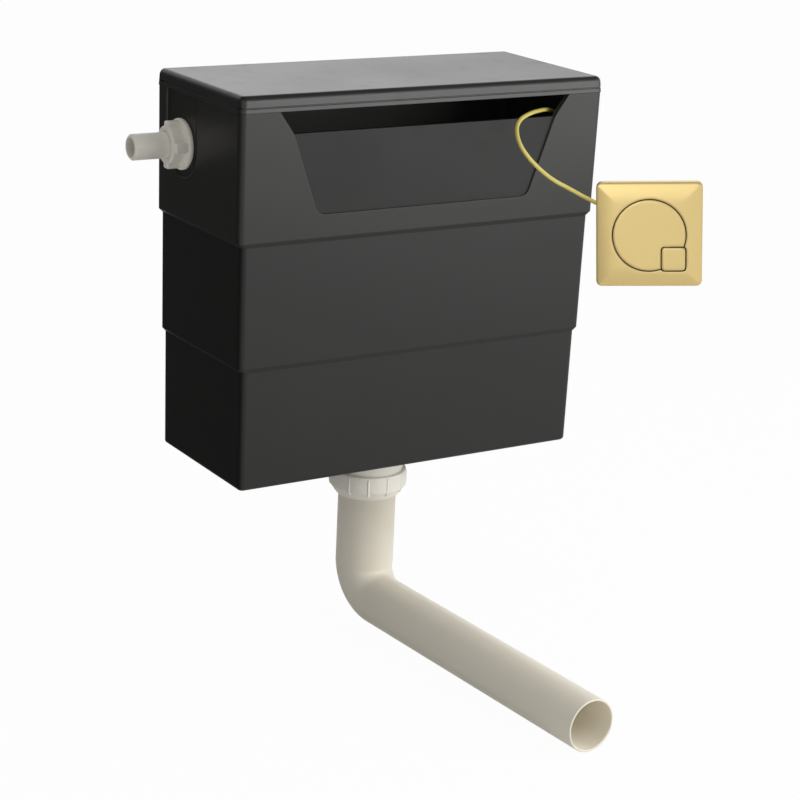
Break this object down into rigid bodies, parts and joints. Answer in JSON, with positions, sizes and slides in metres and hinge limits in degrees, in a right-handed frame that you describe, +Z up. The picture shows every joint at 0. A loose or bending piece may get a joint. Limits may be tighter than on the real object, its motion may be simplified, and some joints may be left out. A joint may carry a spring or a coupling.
{
  "type": "concealed toilet cistern",
  "caption": "Stepped black concealed toilet cistern with lid, side water inlet, bent ivory flush pipe and a square gold dual flush plate that lifts the valve by cable.",
  "frame": {"origin": "on the tank's flat back face, midway between the two wall fixing holes", "axes": "+Y into the wall, +X to the right as seen from the front, +Z up"},
  "size_m": [0.4505, 0.3818, 0.478],
  "materials": {
    "tank_plastic": "satin black moulded plastic",
    "lid_plastic": "smooth black moulded plastic",
    "white_fitting": "white moulded plastic",
    "pipe_plastic": "ivory extruded plastic",
    "rubber_seal": "black rubber",
    "grey_fitting": "dark grey moulded plastic",
    "foam_float": "dark foam",
    "steel_pin": "stainless wire and pins",
    "cable_sheath": "yellow-gold cable sheath",
    "ferrule_plastic": "black moulded ferrule",
    "gold_finish": "satin gold plated plastic",
    "dark_plastic": "dark moulded plastic"
  },
  "bodies": {
    "cistern": {"tank": "tank_plastic", "inlet_nut": "white_fitting", "inlet_washer": "rubber_seal", "fill_valve_body": "white_fitting", "fill_valve_cap": "grey_fitting", "silencer_tube": "grey_fitting", "float_pivot_pin": "steel_pin", "flush_valve_base": "white_fitting", "outlet_washer": "rubber_seal", "valve_backnut": "white_fitting", "coupling_nut": "white_fitting", "pipe_seal": "rubber_seal", "pipe_upright": "pipe_plastic", "pipe_elbow": "pipe_plastic", "flush_pipe": "pipe_plastic", "valve_tower": "grey_fitting", "valve_head": "grey_fitting", "lift_lever_pin": "steel_pin", "valve_cable_ferrule": "ferrule_plastic", "flush_cable": "cable_sheath", "face_plate": "gold_finish", "guide_deck": "dark_plastic", "button_housing": "dark_plastic", "panel_gasket": "rubber_seal", "clamp_ring": "dark_plastic", "rocker_pin": "steel_pin", "full_flush_spring": "steel_pin", "half_flush_spring": "steel_pin", "button_cable_ferrule": "ferrule_plastic"},
    "lid": {"lid": "lid_plastic"},
    "float": {"float_arm": "grey_fitting", "float_rod": "steel_pin", "float_block": "foam_float"},
    "flush_valve": {"overflow_tube": "grey_fitting", "lift_pin": "steel_pin", "valve_seal": "rubber_seal", "seal_retainer": "grey_fitting", "valve_float": "foam_float"},
    "lift_lever": {"lift_lever": "grey_fitting"},
    "valve_wire": {"valve_wire_end": "steel_pin"},
    "full_button": {"full_flush_button": "gold_finish", "full_flush_rod": "dark_plastic"},
    "half_button": {"half_flush_button": "gold_finish", "half_flush_rod": "dark_plastic"},
    "rocker": {"cable_rocker": "dark_plastic"},
    "half_lever": {"half_flush_lever": "dark_plastic"},
    "button_wire": {"button_wire_end": "steel_pin"}
  },
  "joints": [
    {"name": "lid_lift", "type": "slide", "parent": "cistern", "child": "lid", "axis": [0, 0, 1], "range_m": [0, 0.06]},
    {"name": "float_arm_swing", "type": "hinge", "parent": "cistern", "child": "float", "pos_m": [-0.1046, -0.04, -0.034], "axis": [0, -1, 0], "range_deg": [0, 15]},
    {"name": "full_flush_press", "type": "slide", "parent": "cistern", "child": "full_button", "axis": [0.6157, 0.788, 0], "range_m": [0, 0.005], "stiffness_N_per_m": 800},
    {"name": "cable_rocker_turn", "type": "hinge", "parent": "cistern", "child": "rocker", "pos_m": [0.18933, -0.16736, -0.08486], "axis": [0.2926, -0.2286, 0.9285], "range_deg": [0, 17.77], "deforming": ["full_flush_spring"]},
    {"name": "button_wire_pull", "type": "slide", "parent": "cistern", "child": "button_wire", "axis": [0.7317, -0.5716, -0.3714], "range_m": [0, 0.00494]},
    {"name": "valve_wire_pull", "type": "slide", "parent": "cistern", "child": "valve_wire", "axis": [1, 0, 0], "range_m": [0, 0.00494]},
    {"name": "lift_lever_turn", "type": "hinge", "parent": "cistern", "child": "lift_lever", "pos_m": [0.03, -0.069, -0.054], "axis": [0, 1, 0], "range_deg": [0, 28.61]},
    {"name": "valve_lift", "type": "slide", "parent": "cistern", "child": "flush_valve", "axis": [0, 0, 1], "range_m": [0, 0.0153]},
    {"name": "half_flush_press", "type": "slide", "parent": "cistern", "child": "half_button", "axis": [0.6157, 0.788, 0], "range_m": [0, 0.004], "stiffness_N_per_m": 600},
    {"name": "half_lever_turn", "type": "hinge", "parent": "cistern", "child": "half_lever", "pos_m": [0.18933, -0.16736, -0.08486], "axis": [0.2926, -0.2286, 0.9285], "range_deg": [0, 6.35], "deforming": ["half_flush_spring"]}
  ],
  "couplings": [
    {"joint": "cable_rocker_turn", "follows": "full_flush_press", "rad_per_m": 61.999},
    {"joint": "button_wire_pull", "follows": "full_flush_press", "ratio": 0.98801},
    {"joint": "valve_wire_pull", "follows": "full_flush_press", "ratio": 0.98801},
    {"joint": "lift_lever_turn", "follows": "full_flush_press", "rad_per_m": 99.834},
    {"joint": "valve_lift", "follows": "full_flush_press", "ratio": 3.0588},
    {"joint": "half_lever_turn", "follows": "half_flush_press", "rad_per_m": 27.705}
  ]
}
